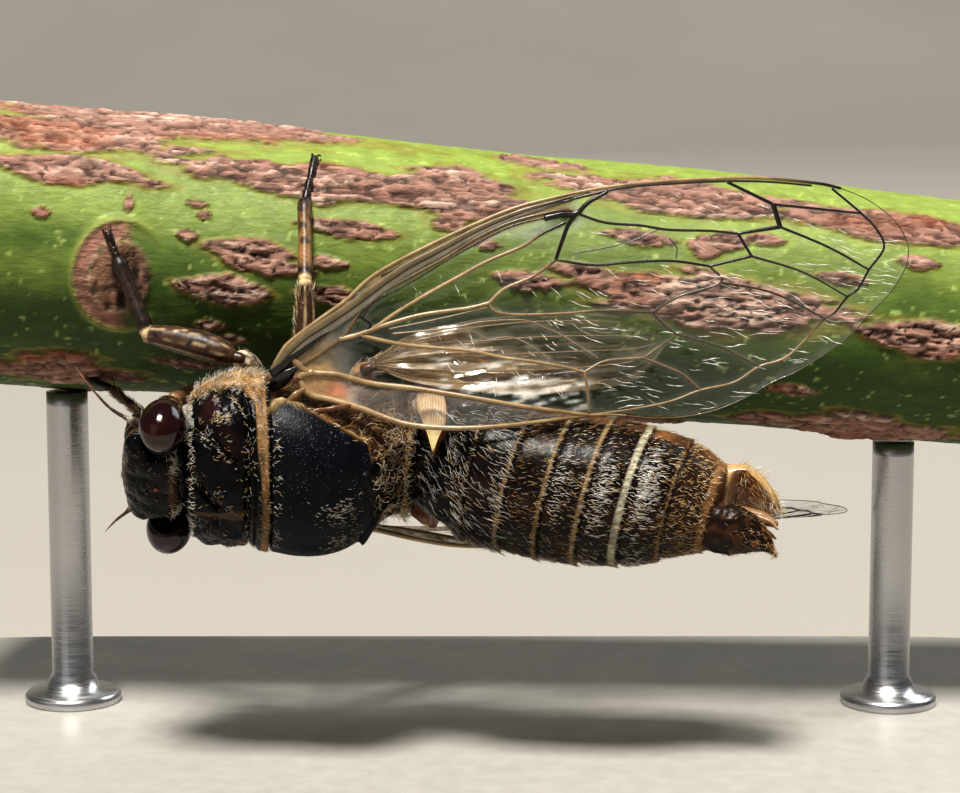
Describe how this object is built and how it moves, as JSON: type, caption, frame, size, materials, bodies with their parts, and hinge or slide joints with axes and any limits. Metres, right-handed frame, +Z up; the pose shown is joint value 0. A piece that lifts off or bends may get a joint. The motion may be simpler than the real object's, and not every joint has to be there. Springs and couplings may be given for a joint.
{
  "type": "life-size model of a black cicada on a cut branch",
  "caption": "Life-size model of a black cicada with clear folded wings gripping a short cut length of green branch, held on a flat base with two slim rods.",
  "frame": {"origin": "centre of the stand base's underside, on the surface it stands on", "axes": "+X along the base, branch and body from head to tail as the picture shows them, left to right; -Y toward the viewer; +Z up"},
  "size_m": [0.048, 0.028, 0.0252],
  "materials": {
    "black_cuticle": "glossy black insect cuticle with fine hair",
    "eye": "dark red-brown glossy eye",
    "feeler": "black to brown",
    "collar": "tan cuticle with golden hair",
    "ridge": "black and tan cuticle with golden hair",
    "underside": "brown cuticle with pale down",
    "tail": "dark brown, hairy",
    "pale_plate": "pale tan cuticle",
    "timbal": "cream ribbed membrane",
    "wing": "clear wrinkled membrane with tan to black veins",
    "leg": "brown, tan and black cuticle",
    "leg_base": "pale tan cuticle",
    "bark": "green bark with corky brown streaks",
    "stand_plate": "warm white, satin",
    "stand_metal": "satin steel"
  },
  "bodies": {
    "root": {"abdomen_2": "black_cuticle", "abdomen_3": "black_cuticle", "abdomen_4": "black_cuticle", "abdomen_5": "black_cuticle", "abdomen_6": "black_cuticle", "abdomen_7": "black_cuticle", "abdomen_8": "black_cuticle", "antenna_left": "feeler", "antenna_right": "feeler", "coxa_fore_left": "leg_base", "coxa_fore_right": "leg_base", "coxa_hind_left": "leg_base", "coxa_hind_right": "leg_base", "coxa_mid_left": "leg_base", "coxa_mid_right": "leg_base", "cruciform_ridge": "ridge", "eye_left": "eye", "eye_right": "eye", "femur_fore_left": "leg", "femur_fore_right": "leg", "femur_hind_left": "leg", "femur_hind_right": "leg", "femur_mid_left": "leg", "femur_mid_right": "leg", "forewing_left": "wing", "forewing_right": "wing", "genital_plate": "pale_plate", "head": "black_cuticle", "hindwing_left": "wing", "hindwing_right": "wing", "mesonotum": "black_cuticle", "operculum_left": "pale_plate", "operculum_right": "pale_plate", "perch_branch": "bark", "postclypeus": "black_cuticle", "pronotal_collar": "collar", "pronotum": "black_cuticle", "pygofer": "tail", "rostrum": "feeler", "stand_base": "stand_plate", "stand_rod_left": "stand_metal", "stand_rod_right": "stand_metal", "thorax_underside": "underside", "tibia_fore_left": "leg", "tibia_fore_right": "leg", "tibia_hind_left": "leg", "tibia_hind_right": "leg", "tibia_mid_left": "leg", "tibia_mid_right": "leg", "timbal_left": "timbal", "timbal_right": "timbal"}
  },
  "joints": []
}
